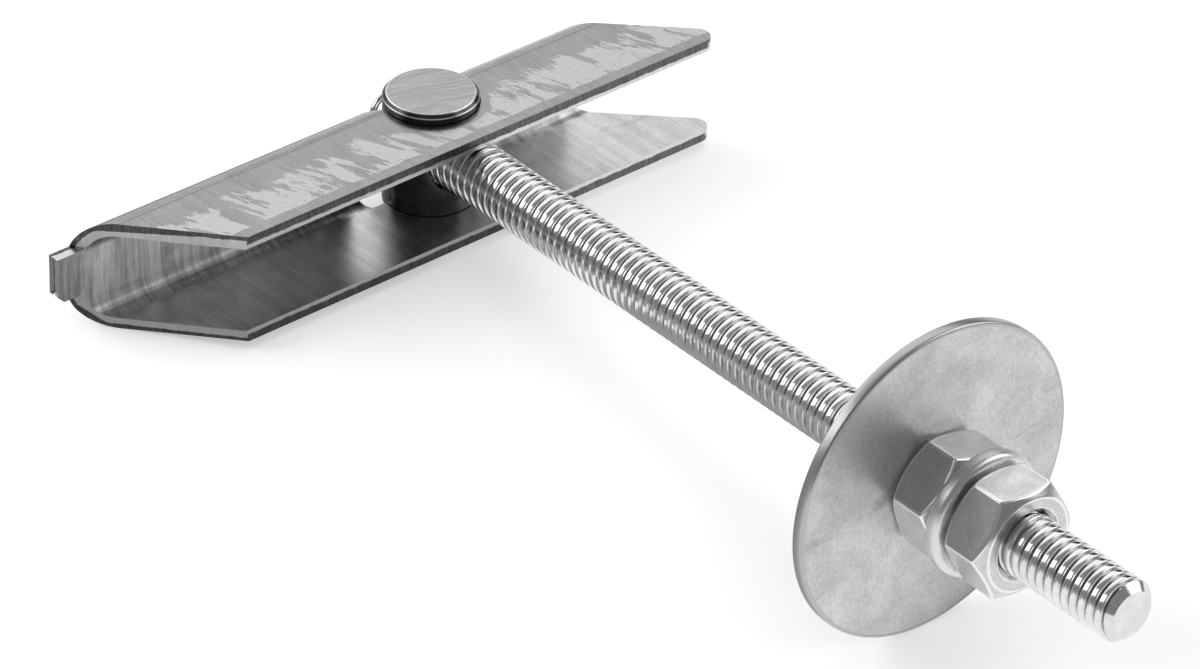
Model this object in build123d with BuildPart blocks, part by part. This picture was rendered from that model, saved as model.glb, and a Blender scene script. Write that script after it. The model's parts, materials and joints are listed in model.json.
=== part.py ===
from build123d import *
import os
from math import cos, hypot, pi, radians, sqrt, tan

# Gravity toggle bolt for a cavity wall or ceiling: a folded sheet toggle that swings on a barrel nut,
# a threaded rod screwed through the barrel, a large washer, and two nuts with a small washer between them.
# All sizes are in millimetres. The pieces are first made about the pivot, where the rod's axis crosses the
# barrel's axis: X runs along the rod towards its nuts, Y along the toggle, and Z up the barrel. They are
# then laid down as the bolt comes to rest on a floor, on the toggle's back bend and the large washer's rim.

# Threaded rod
rod_diameter = 5.8
rod_length = 100.0
rod_tail = 6.5
rod_chamfer = 0.7

# Barrel nut
barrel_diameter = 9.0
barrel_chamfer = 0.35
barrel_proud = 1.0
barrel_foot_recess = 0.4
thread_clearance = 0.04
bore_countersink = 0.6

# Toggle, one folded sheet
sheet = 1.2
toggle_height = 11.0
toggle_depth = 12.0
toggle_length = 57.5
bend_radius = 1.9
pivot_to_back = 4.15
tail_lead = 27.5
nose_end_angle = 45.0
tail_end_angle = 40.5
nose_radius = 1.3
tab_length = 1.5
tab_width = 4.7
tab_corner = 0.7
tab_rise = 0.6
window_corner = 3.0
window_clearance = 0.45
over_turn = 10.0
pivot_clearance = 0.10
rod_to_flange = 0.10
toggle_turn = 1.8

# Large washer
washer_diameter = 30.0
washer_bore = 6.4
washer_thickness = 1.2
washer_seat = 68.2
washer_edge_radius = 0.25

# Hexagon nuts, the same pattern twice
nut_across_flats = 9.8
nut_height = 5.0
nut_chamfer_angle = 35.0
nut_face_share = 0.91
nut_countersink = 0.5
inner_nut_turn = 49.0
outer_nut_turn = 58.7

# Small washer between the nuts
ring_diameter = 11.8
ring_bore = 6.4
ring_thickness = 1.6
ring_edge_radius = 0.5

# Worked out from the sizes above
rod_radius = rod_diameter / 2
barrel_radius = barrel_diameter / 2
thread_radius = rod_radius + thread_clearance
bend_outside = bend_radius + sheet
flange_top = rod_radius + rod_to_flange + sheet
flange_bottom = flange_top - toggle_height
free_edge = toggle_depth - pivot_to_back
back_inside = sheet - pivot_to_back
barrel_top = flange_top + barrel_proud
barrel_foot = flange_bottom + barrel_foot_recess
pivot_hole_radius = barrel_radius + pivot_clearance
toggle_centre = (flange_top + flange_bottom) / 2
nose_lead = toggle_length - tail_lead
nose_slant = toggle_depth * tan(radians(nose_end_angle))
tail_slope = tan(radians(tail_end_angle))
bend_stretch = pi / 2 * (bend_radius + sheet / 2) / bend_outside - 1
tail_rake = tail_slope * bend_stretch
tail_tip = tail_lead + tail_slope * toggle_depth + tail_rake * toggle_height / 2
tail_reach = hypot(rod_tail, rod_radius)
window_tail_side = sqrt(tail_reach**2 - back_inside**2) + window_clearance
over_turn_reach = pivot_to_back * tan(radians(over_turn)) + rod_radius / cos(radians(over_turn))
window_head_side = over_turn_reach + pivot_clearance
inner_nut_seat = washer_seat + washer_thickness
ring_seat = inner_nut_seat + nut_height
outer_nut_seat = ring_seat + ring_thickness


def floor_plane():
    """The floor under the bolt, as a plane in the pivot frame whose Z axis points up from the floor.

    The floor touches the toggle along its lower back bend and the washer at the lowest point of its rim,
    so its slope is the one at which the bend and the rim are equally low. The slope is found by halving.
    """
    bend_axis = Vector(bend_outside - pivot_to_back, 0, flange_bottom + bend_outside)
    bend_axis = bend_axis.rotate(Axis.Z, toggle_turn)
    rim_centre = Vector(washer_seat, 0, 0)
    low_slope = 0.0
    high_slope = 1.0
    for _ in range(50):
        slope = (low_slope + high_slope) / 2
        up = Vector(slope, slope * tan(radians(toggle_turn)), 1).normalized()
        bend_height = up.dot(bend_axis) - bend_outside
        rim_height = up.dot(rim_centre) - washer_diameter / 2 * hypot(up.Y, up.Z)
        if rim_height < bend_height:
            low_slope = slope
        else:
            high_slope = slope
    along_rod = Vector(1, 0, 0) - up * up.X
    return Plane(origin=up * bend_height, x_dir=along_rod, z_dir=up)


def make_washer(seat, diameter, bore, thickness, edge_radius):
    """A flat washer on the rod's axis, with its back face at the seat and its rim rounded."""
    with BuildPart() as washer:
        with BuildSketch(Plane.YZ.offset(seat)):
            Circle(diameter / 2)
            Circle(bore / 2, mode=Mode.SUBTRACT)
        extrude(amount=thickness)
        rim = washer.edges().filter_by(GeomType.CIRCLE).group_by(SortBy.RADIUS)[-1]
        fillet(rim, edge_radius)
    return washer


def make_nut(seat, turn):
    """A hexagon nut on the rod's axis, chamfered and countersunk on both sides, turned about its axis."""
    corner_radius = nut_across_flats / 2 / cos(radians(30))
    face_radius = nut_face_share * nut_across_flats / 2
    chamfer_length = (corner_radius - face_radius) * tan(radians(nut_chamfer_angle))
    mouth_radius = thread_radius + nut_countersink
    face = seat + nut_height
    with BuildPart() as nut:
        with BuildSketch(Plane.YZ.offset(seat)):
            RegularPolygon(nut_across_flats / 2, 6, major_radius=False, rotation=turn)
        extrude(amount=nut_height)
        with BuildSketch(Plane.XZ):
            with BuildLine():
                Polyline(
                    (seat, mouth_radius),
                    (seat, face_radius),
                    (seat + chamfer_length, corner_radius),
                    (face - chamfer_length, corner_radius),
                    (face, face_radius),
                    (face, mouth_radius),
                    (face - nut_countersink, thread_radius),
                    (seat + nut_countersink, thread_radius),
                    close=True,
                )
            make_face()
        revolve(axis=Axis.X, mode=Mode.INTERSECT)
    return nut


# Threaded rod: its thread is shown by its outside diameter, with both ends chamfered
with BuildPart() as threaded_rod:
    with BuildSketch(Plane.YZ.offset(-rod_tail)):
        Circle(rod_radius)
    extrude(amount=rod_length)
    chamfer(threaded_rod.edges().filter_by(GeomType.CIRCLE), rod_chamfer)

# Barrel nut: a turned pin with a tapped cross bore, countersunk at both mouths
with BuildPart() as barrel_nut:
    with BuildSketch(Plane.XY.offset(barrel_foot)):
        Circle(barrel_radius)
    extrude(amount=barrel_top - barrel_foot)
    chamfer(barrel_nut.edges().filter_by(GeomType.CIRCLE), barrel_chamfer)
    with BuildSketch(Plane.XZ):
        with BuildLine():
            Polyline(
                (-barrel_radius, 0),
                (-barrel_radius, thread_radius + bore_countersink),
                (-barrel_radius + 2 * bore_countersink, thread_radius),
                (barrel_radius - 2 * bore_countersink, thread_radius),
                (barrel_radius, thread_radius + bore_countersink),
                (barrel_radius, 0),
                close=True,
            )
        make_face()
    revolve(axis=Axis.X, mode=Mode.SUBTRACT)

# Toggle: the sheet is bent to a U, its ends are cut slanting, and the pivot holes and the window that the
# rod's tail swings through are cut from it. A stub of the strip that carried the blank is left on the back.
with BuildPart() as toggle_channel:
    with BuildSketch(Plane.XZ):
        with BuildLine():
            FilletPolyline(
                (free_edge, flange_top - sheet / 2),
                (sheet / 2 - pivot_to_back, flange_top - sheet / 2),
                (sheet / 2 - pivot_to_back, flange_bottom + sheet / 2),
                (free_edge, flange_bottom + sheet / 2),
                radius=bend_radius + sheet / 2,
            )
        trace(line_width=sheet)
    extrude(amount=2 * toggle_length, both=True)
    with BuildSketch(Plane.XY.offset(flange_bottom)) as plan:
        with BuildLine():
            Polyline(
                (free_edge, -toggle_length),
                (free_edge, nose_lead),
                (-pivot_to_back, nose_lead - nose_slant),
                (-pivot_to_back, -toggle_length),
                close=True,
            )
        make_face()
        nose = plan.vertices().sort_by(Axis.Y)[-1]
        fillet(nose, nose_radius)
    extrude(amount=toggle_height, mode=Mode.INTERSECT)
    for flange, side in ((flange_top, 1), (flange_bottom, -1)):
        tail_cut = Plane(origin=(free_edge, -tail_lead, flange), z_dir=(-tail_slope, 1, -side * tail_rake))
        split(bisect_by=tail_cut)
    with BuildSketch(Plane.YZ.offset(-pivot_to_back)):
        with Locations((-tail_tip, toggle_centre + tab_rise)):
            tab = Rectangle(2 * tab_length, tab_width)
        chamfer(tab.vertices().group_by(Axis.Y)[0], tab_corner)
    extrude(amount=sheet)
    with BuildSketch(Plane.XY.offset(flange_bottom)):
        Circle(pivot_hole_radius)
    extrude(amount=toggle_height, mode=Mode.SUBTRACT)
    with BuildSketch(Plane.YZ.offset(-pivot_to_back)):
        with Locations(((window_head_side - window_tail_side) / 2, toggle_centre)):
            RectangleRounded(window_head_side + window_tail_side, toggle_height, window_corner)
    extrude(amount=bend_outside, mode=Mode.SUBTRACT)

# Washers and nuts, from the toggle outwards
large_washer = make_washer(washer_seat, washer_diameter, washer_bore, washer_thickness, washer_edge_radius)
inner_nut = make_nut(inner_nut_seat, inner_nut_turn)
small_washer = make_washer(ring_seat, ring_diameter, ring_bore, ring_thickness, ring_edge_radius)
outer_nut = make_nut(outer_nut_seat, outer_nut_turn)

pieces = {
    "toggle_channel": toggle_channel,
    "barrel_nut": barrel_nut,
    "threaded_rod": threaded_rod,
    "large_washer": large_washer,
    "inner_nut": inner_nut,
    "small_washer": small_washer,
    "outer_nut": outer_nut,
}

# The toggle stands a little off square on its pivot, and the whole bolt is laid on the floor
toggle_channel.part.locate(Location((0, 0, 0), (0, 0, toggle_turn)))
to_floor = floor_plane().location.inverse()
for piece in pieces.values():
    piece.part.locate(to_floor * piece.part.location)
footprint = Compound([piece.part for piece in pieces.values()]).bounding_box().center()
to_centre = Location((-footprint.X, -footprint.Y, 0))

os.makedirs("parts", exist_ok=True)
for name, piece in pieces.items():
    piece.part.locate(to_centre * piece.part.location)
    piece.part.label = name
    export_step(piece.part, f"parts/{name}.step")
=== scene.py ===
"""A cavity toggle bolt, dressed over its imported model.

Every piece is made in the pivot frame, in millimetres: X runs along the rod towards its nuts, Y along the
toggle and Z up the barrel, from the point where the rod's axis crosses the barrel's. A finished mesh is then
settled into the row frame, in metres.
"""
import json
import logging
from abc import ABC, abstractmethod
from collections.abc import Sequence
from dataclasses import dataclass
from enum import Enum
from math import atan, atan2, cos, hypot, pi, radians, sin, sqrt, tan

import bmesh
import bpy
import numpy as np
from mathutils import Matrix, Vector


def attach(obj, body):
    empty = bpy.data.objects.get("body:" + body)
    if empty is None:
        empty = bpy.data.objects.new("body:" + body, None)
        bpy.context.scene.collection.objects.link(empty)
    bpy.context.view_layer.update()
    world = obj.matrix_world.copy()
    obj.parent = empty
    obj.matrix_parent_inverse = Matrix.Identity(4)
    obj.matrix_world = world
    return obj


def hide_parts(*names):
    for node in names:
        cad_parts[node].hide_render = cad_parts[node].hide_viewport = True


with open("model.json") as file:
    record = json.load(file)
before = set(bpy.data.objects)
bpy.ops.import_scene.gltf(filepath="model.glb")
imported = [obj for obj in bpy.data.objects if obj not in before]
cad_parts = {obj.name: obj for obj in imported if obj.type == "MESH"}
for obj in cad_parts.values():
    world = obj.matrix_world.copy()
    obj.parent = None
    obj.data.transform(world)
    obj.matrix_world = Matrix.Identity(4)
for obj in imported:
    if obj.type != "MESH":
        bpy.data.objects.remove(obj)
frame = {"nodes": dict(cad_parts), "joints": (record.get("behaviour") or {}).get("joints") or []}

log = logging.getLogger("toggle_bolt")

METRES = 0.001
MERGE = 1e-4
TINY = 1e-9
COOL_TINT = 0.006

Span = tuple[float, float]
Triple = tuple[float, float, float]
Mesh = bpy.types.Mesh
Socket = bpy.types.NodeSocket


class Slot(Enum):
    """The record's material slots."""

    SHEET = "galvanised_sheet"
    TURNED = "turned_steel"
    THREAD = "bright_zinc"
    WASHER = "dull_zinc"
    NUT = "nut_zinc"
    RING = "ring_zinc"


class Body(Enum):
    """The bodies that the pieces ride on."""

    ROD = "rod"
    TOGGLE = "toggle"
    WASHER = "washer"
    LOCK_NUT = "lock_nut"
    RING = "ring"
    END_NUT = "end_nut"


class PivotFrame:
    """The frame that the pieces are made in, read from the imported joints."""

    def __init__(self, joints: Sequence[dict]) -> None:
        """Takes the barrel's axis from the toggle's hinge and the rod's axis from the small washer's slide.

        Args:
            joints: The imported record's joints.
        """
        named = {joint["name"]: joint for joint in joints}
        up = Vector(named["toggle_fold"]["axis"]).normalized()
        along = Vector(named["ring_slide"]["axis"])
        along = (along - up * along.dot(up)).normalized()
        pivot = Vector(named["toggle_fold"]["pos_m"])
        self.turn = Matrix((along, up.cross(along), up)).transposed()
        self.to_row = Matrix.LocRotScale(pivot, self.turn.to_quaternion(), Vector((METRES,) * 3))
        self.from_row = self.to_row.inverted()

    def points(self, node: str) -> np.ndarray:
        """A CAD node's vertices in the pivot frame, in millimetres.

        Args:
            node: The CAD node's name.

        Returns:
            One row of x, y, z for each vertex.
        """
        mesh = frame["nodes"][node].data
        flat = np.zeros(len(mesh.vertices) * 3)
        mesh.vertices.foreach_get("co", flat)
        inverse = np.array(self.from_row)
        return flat.reshape(-1, 3) @ inverse[:3, :3].T + inverse[:3, 3]

    def reach(self, node: str) -> Triple:
        """A round CAD node's ends along the rod and its radius about the rod.

        Args:
            node: The CAD node's name.

        Returns:
            The lower end, the upper end and the radius.
        """
        points = self.points(node)
        return points[:, 0].min(), points[:, 0].max(), np.hypot(points[:, 1], points[:, 2]).max()


def direction(azimuth: float, elevation: float = 0.0) -> Vector:
    """A direction in the pivot frame.

    Args:
        azimuth: Its angle about Z from X, in degrees.
        elevation: Its angle above the XY plane, in degrees.

    Returns:
        A vector of length 1.
    """
    azimuth = radians(azimuth)
    elevation = radians(elevation)
    return Vector((cos(elevation) * cos(azimuth), cos(elevation) * sin(azimuth), sin(elevation)))


def rounded(corners: Sequence[Triple], steps: int, support: float) -> list[Triple]:
    """A closed outline with rounded corners, and a mark that is 1 on the arcs.

    Args:
        corners: The outline's corners, each with its radius.
        steps: Segments in each arc.
        support: How far beyond each arc's ends an unmarked point is added.

    Returns:
        The outline's points, each with its mark.
    """
    outline = []
    count = len(corners)
    for index, (x, y, radius) in enumerate(corners):
        here = Vector((x, y))
        back = (Vector(corners[index - 1][:2]) - here).normalized()
        ahead = (Vector(corners[(index + 1) % count][:2]) - here).normalized()
        half = back.angle(ahead) / 2
        run = radius / tan(half)
        centre = here + (back + ahead).normalized() * radius / sin(half)
        start = here + back * run - centre
        turn = start.angle_signed(here + ahead * run - centre)
        before = here + back * (run + support)
        after = here + ahead * (run + support)
        outline.append((before.x, before.y, 0.0))
        for step in range(steps + 1):
            spoke = Matrix.Rotation(-turn * step / steps, 2) @ start
            outline.append((centre.x + spoke.x, centre.y + spoke.y, 1.0))
        outline.append((after.x, after.y, 0.0))
    return outline


def sealed(work: bmesh.types.BMesh, mesh: Mesh) -> Mesh:
    """Merges a skin's doubles, turns its faces outwards and writes it to a mesh.

    Args:
        work: The skin, which is freed.
        mesh: The mesh to write.

    Returns:
        The same mesh.
    """
    bmesh.ops.remove_doubles(work, verts=work.verts, dist=MERGE)
    bmesh.ops.recalc_face_normals(work, faces=work.faces)
    work.to_mesh(mesh)
    work.free()
    return mesh


def shell(name: str, sections: np.ndarray, angles: np.ndarray, upright: bool, closed: bool) -> Mesh:
    """A closed skin over sections that stand round an axis.

    Args:
        name: The mesh's name.
        sections: Rows along the profile and columns round the axis. Each point is its place along the axis,
            its radius and its mark, which is kept as the attribute "edge".
        angles: Each column's angle about the axis.
        upright: Whether the axis is Z. Otherwise it is X.
        closed: Whether the last row joins the first.

    Returns:
        The mesh.
    """
    along, radius, marks = np.moveaxis(sections, -1, 0)
    across = radius * np.cos(angles)
    beside = radius * np.sin(angles)
    points = np.stack((across, beside, along) if upright else (along, across, beside), axis=-1)
    work = bmesh.new()
    layer = work.verts.layers.float.new("edge")
    grid = [[work.verts.new(point) for point in row] for row in points]
    for vertices, values in zip(grid, marks):
        for vertex, value in zip(vertices, values):
            vertex[layer] = value
    for index in range(len(grid) if closed else len(grid) - 1):
        here = grid[index]
        below = grid[(index + 1) % len(grid)]
        for column in range(len(here)):
            last = (column + 1) % len(here)
            work.faces.new((here[column], here[last], below[last], below[column]))
    return sealed(work, bpy.data.meshes.new(name))


def revolved(name: str, outline: Sequence[Triple], segments: int, upright: bool, closed: bool) -> Mesh:
    """An outline turned about an axis.

    Args:
        name: The mesh's name.
        outline: The section, as places along the axis, radii and marks.
        segments: Facets round the axis.
        upright: Whether the axis is Z. Otherwise it is X.
        closed: Whether the outline's last point joins its first.

    Returns:
        The turned mesh.
    """
    sections = np.repeat(np.array(outline)[:, None], segments, axis=1)
    return shell(name, sections, np.arange(segments) * 2 * pi / segments, upright, closed)


def placed(name: str, data: bpy.types.ID) -> bpy.types.Object:
    """Adds an object to the scene.

    Args:
        name: Its name.
        data: Its mesh, camera or lamp.

    Returns:
        The object.
    """
    thing = bpy.data.objects.new(name, data)
    bpy.context.scene.collection.objects.link(thing)
    return thing


def evaluated(*carriers: bpy.types.Object) -> Mesh:
    """The mesh that an object's modifiers make. The objects are removed.

    Args:
        *carriers: The object with the modifiers, then any object that they use.

    Returns:
        A mesh of its own.
    """
    graph = bpy.context.evaluated_depsgraph_get()
    mesh = bpy.data.meshes.new_from_object(carriers[0].evaluated_get(graph))
    for carrier in carriers:
        bpy.data.objects.remove(carrier)
    return mesh


def flattened(mesh: Mesh) -> Mesh:
    """Gives each vertex the normals of its broad faces.

    Args:
        mesh: The mesh, with its sharp edges marked.

    Returns:
        The mesh with its own normals.
    """
    carrier = placed("flattened", mesh)
    weigh = carrier.modifiers.new("weigh", "WEIGHTED_NORMAL")
    weigh.mode = "FACE_AREA"
    weigh.weight = 100
    weigh.keep_sharp = True
    return evaluated(carrier)


class Wire:
    """A node's output, which can be reckoned with like a number."""

    def __init__(self, sheet: "Sheet", socket: Socket) -> None:
        """Keeps the output and its sheet."""
        self.sheet = sheet
        self.socket = socket

    def also(self, output: int | str) -> "Wire":
        """Another output of the same node."""
        return Wire(self.sheet, self.socket.node.outputs[output])

    def __add__(self, other: "float | Wire") -> "Wire":
        """The sum of the two."""
        return self.sheet.math("ADD", self, other)

    def __sub__(self, other: "float | Wire") -> "Wire":
        """What is left when the other is taken away."""
        return self.sheet.math("SUBTRACT", self, other)

    def __rsub__(self, other: float) -> "Wire":
        """What is left of a number when this is taken away."""
        return self.sheet.math("SUBTRACT", other, self)

    def __mul__(self, other: "float | Wire") -> "Wire":
        """The product of the two."""
        return self.sheet.math("MULTIPLY", self, other)

    def __truediv__(self, other: "float | Wire") -> "Wire":
        """The quotient of the two."""
        return self.sheet.math("DIVIDE", self, other)

    def __rtruediv__(self, other: float) -> "Wire":
        """A number divided by this."""
        return self.sheet.math("DIVIDE", other, self)

    def __abs__(self) -> "Wire":
        """This without its sign."""
        return self.sheet.math("ABSOLUTE", self)


Value = float | Wire
Coat = tuple[Wire, Wire, Wire]


class Sheet:
    """A short way to write a node tree: it adds nodes, fills their sockets and links them."""

    def __init__(self, tree: bpy.types.NodeTree) -> None:
        """Starts on a tree."""
        self.tree = tree

    def node(self, kind: str, inputs: dict | None = None, **settings: object) -> bpy.types.Node:
        """Adds a node.

        Args:
            kind: The node's type.
            inputs: What each input takes, by its name or number: a value, a wire, or a list of wires.
            **settings: The node's own properties.

        Returns:
            The node.
        """
        node = self.tree.nodes.new(kind)
        for name, value in settings.items():
            setattr(node, name, value)
        for key, value in (inputs or {}).items():
            if isinstance(value, (Wire, list)):
                for wire in [value] if isinstance(value, Wire) else value:
                    self.tree.links.new(wire.socket, node.inputs[key])
            else:
                node.inputs[key].default_value = value
        return node

    def add(self, kind: str, inputs: dict | None = None, output: int | str = 0, **settings: object) -> Wire:
        """Adds a node and carries on from one of its outputs.

        Args:
            kind: The node's type.
            inputs: What each input takes.
            output: The output's name or number.
            **settings: The node's own properties.

        Returns:
            The output.
        """
        return Wire(self, self.node(kind, inputs, **settings).outputs[output])

    def math(self, operation: str, *values: Value, clamp: bool = False) -> Wire:
        """Adds a Math node."""
        return self.add("ShaderNodeMath", dict(enumerate(values)), operation=operation, use_clamp=clamp)

    def ramp(self, value: Wire, low: float, high: float, start: float = 0.0, end: float = 1.0) -> Wire:
        """Maps low..high to start..end smoothly, and holds the ends.

        Args:
            value: The value to map.
            low: Where the change begins.
            high: Where it ends.
            start: The result at and before low.
            end: The result at and after high.

        Returns:
            The mapped value.
        """
        span = {"Value": value, "From Min": low, "From Max": high, "To Min": start, "To Max": end}
        return self.add("ShaderNodeMapRange", span, interpolation_type="SMOOTHSTEP")

    def mix(self, share: Value, first: Value, second: Value) -> Wire:
        """Goes from the first value to the second by a share."""
        inputs = {0: share, 2: first, 3: second}
        return self.add("ShaderNodeMix", inputs, data_type="FLOAT", clamp_factor=True)

    def blend(self, level: Wire, mask: Wire, share: float, grey: float) -> Wire:
        """Goes a share of the way to a grey where the mask is full."""
        return self.mix(mask * share, level, grey)

    def noise(
        self,
        vector: Wire,
        scale: Value = 1.0,
        stretch: Triple | None = None,
        detail: float = 2.0,
        roughness: float = 0.5,
        distortion: float = 0.0,
    ) -> Wire:
        """Adds a noise texture.

        Args:
            vector: The place.
            scale: The noise's fineness.
            stretch: Scales for the place, where the noise is drawn out.
            detail: Octaves of finer noise.
            roughness: The finer octaves' strength.
            distortion: How far the noise is bent.

        Returns:
            The noise's value.
        """
        inputs = {
            "Vector": self.stretch(vector, stretch) if stretch else vector,
            "Scale": scale,
            "Detail": detail,
            "Roughness": roughness,
            "Distortion": distortion,
        }
        return self.add("ShaderNodeTexNoise", inputs, noise_dimensions="3D")

    def stretch(self, vector: Wire, scale: Triple = (1.0, 1.0, 1.0), turn: float = 0.0) -> Wire:
        """Scales a vector, then turns it about Z by an angle in radians."""
        inputs = {"Vector": vector, "Scale": scale, "Rotation": (0.0, 0.0, turn)}
        return self.add("ShaderNodeMapping", inputs)

    def parts(self, vector: Wire) -> tuple[Wire, Wire, Wire]:
        """A vector's x, y and z."""
        x = self.add("ShaderNodeSeparateXYZ", {0: vector})
        return x, x.also(1), x.also(2)

    def joined(self, *parts: Wire) -> Wire:
        """The vector with the given parts."""
        return self.add("ShaderNodeCombineXYZ", dict(enumerate(parts)))

    def along(self, vector: Wire, aim: Vector) -> Wire:
        """How far a vector goes along a fixed direction."""
        return self.add("ShaderNodeVectorMath", {0: vector, 1: aim}, output="Value", operation="DOT_PRODUCT")


class GroupSheet(Sheet):
    """The sheet of a node group, whose inputs are at hand by name."""

    SOCKETS = (
        (type(None), "NodeSocketVector"),
        (int, "NodeSocketInt"),
        (float, "NodeSocketFloat"),
        (bpy.types.Material, "NodeSocketMaterial"),
    )

    def __init__(self, name: str, inputs: dict, outputs: Sequence[str], geometry: bool = False) -> None:
        """Makes the group and its sockets.

        Args:
            name: The group's name.
            inputs: Each input's default, or None for a vector.
            outputs: The outputs' names.
            geometry: Whether it is a geometry group, which puts out geometry. Otherwise it puts out values.
        """
        sort = "GeometryNodeTree" if geometry else "ShaderNodeTree"
        super().__init__(bpy.data.node_groups.new(name, sort))
        for label, default in inputs.items():
            kind = next(socket for given, socket in self.SOCKETS if isinstance(default, given))
            socket = self.tree.interface.new_socket(name=label, in_out="INPUT", socket_type=kind)
            if default is not None:
                socket.default_value = default
        for label in outputs:
            kind = "NodeSocketGeometry" if geometry else "NodeSocketFloat"
            self.tree.interface.new_socket(name=label, in_out="OUTPUT", socket_type=kind)
        entry = self.tree.nodes.new("NodeGroupInput")
        self.given = {socket.name: Wire(self, socket) for socket in entry.outputs if socket.name}

    def leave(self, results: dict[str, Wire]) -> bpy.types.NodeTree:
        """Wires the results to the group's outputs and returns the group."""
        self.node("NodeGroupOutput", results)
        return self.tree


def fresh_sheet(owner: bpy.types.Material | bpy.types.World) -> Sheet:
    """Clears the nodes of a material or a world and starts a sheet for them."""
    owner.use_nodes = True
    owner.node_tree.nodes.clear()
    return Sheet(owner.node_tree)


class SharedPatterns:
    """The shader groups that more than one finish uses."""

    def __init__(self) -> None:
        """Builds each group once."""
        self.cloud = self._cloud()
        self.grain = self._grain()
        self.scuff = self._scuff()

    @staticmethod
    def _cloud() -> bpy.types.NodeTree:
        """Soft clouds in a plating, with bright crystals and dark pits.

        Returns:
            The group.
        """
        inputs = {"Vector": None, "Scale": 1.0, "Speck Size": 0.2, "Speck Share": 0.1, "Pit Share": 0.1}
        sheet = GroupSheet("plating_cloud", inputs, ("Cloud", "Fine", "Speck", "Pit"))
        where = sheet.given["Vector"]
        scale = sheet.given["Scale"]
        cloud = sheet.noise(where, scale, detail=5.0, roughness=0.62, distortion=0.4)
        fine = sheet.noise(where, scale * 14.0, detail=3.0, roughness=0.7)
        cells = {"Vector": where, "Scale": 1.0 / sheet.given["Speck Size"]}
        from_cell = sheet.add("ShaderNodeTexVoronoi", cells, output="Distance")
        draw = sheet.add("ShaderNodeSeparateColor", {0: from_cell.also("Color")})
        dot = sheet.ramp(from_cell, 0.22, 0.42, 1.0, 0.0)
        bright = sheet.math("LESS_THAN", draw, sheet.given["Speck Share"])
        dark = sheet.math("LESS_THAN", draw.also(1), sheet.given["Pit Share"])
        speck = dot * bright * sheet.ramp(cloud, 0.40, 0.62)
        return sheet.leave({"Cloud": cloud, "Fine": fine, "Speck": speck, "Pit": dot * dark})

    @staticmethod
    def _grain() -> bpy.types.NodeTree:
        """Fine parallel marks along Y, as from brushing, drawing or turning.

        Returns:
            The group.
        """
        sheet = GroupSheet("drawn_grain", {"Vector": None, "Fineness": 6.0}, ("Grain",))
        drawn = sheet.stretch(sheet.given["Vector"], (1.0, 0.045, 1.0))
        fineness = sheet.given["Fineness"]
        fine = sheet.noise(drawn, fineness, detail=3.0, roughness=0.6)
        wide = sheet.noise(drawn, fineness * 0.35, detail=1.0)
        return sheet.leave({"Grain": sheet.mix(0.4, fine, wide)})

    @staticmethod
    def _scuff() -> bpy.types.NodeTree:
        """Sparse short strokes and rubbed spots.

        Returns:
            The group.
        """
        sheet = GroupSheet("scuffs", {"Vector": None, "Scale": 1.0, "Share": 0.3}, ("Scuff",))
        where = sheet.given["Vector"]
        scale = sheet.given["Scale"]
        strokes = sheet.noise(where, scale, (1.0, 0.28, 1.0), detail=6.0, roughness=0.75, distortion=0.8)
        patches = sheet.noise(where, scale * 0.22)
        level = 0.80 - sheet.given["Share"] * 0.4
        over = strokes * 0.62 + patches * 0.5 - level
        return sheet.leave({"Scuff": sheet.math("MULTIPLY", over, 14.0, clamp=True)})


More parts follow.
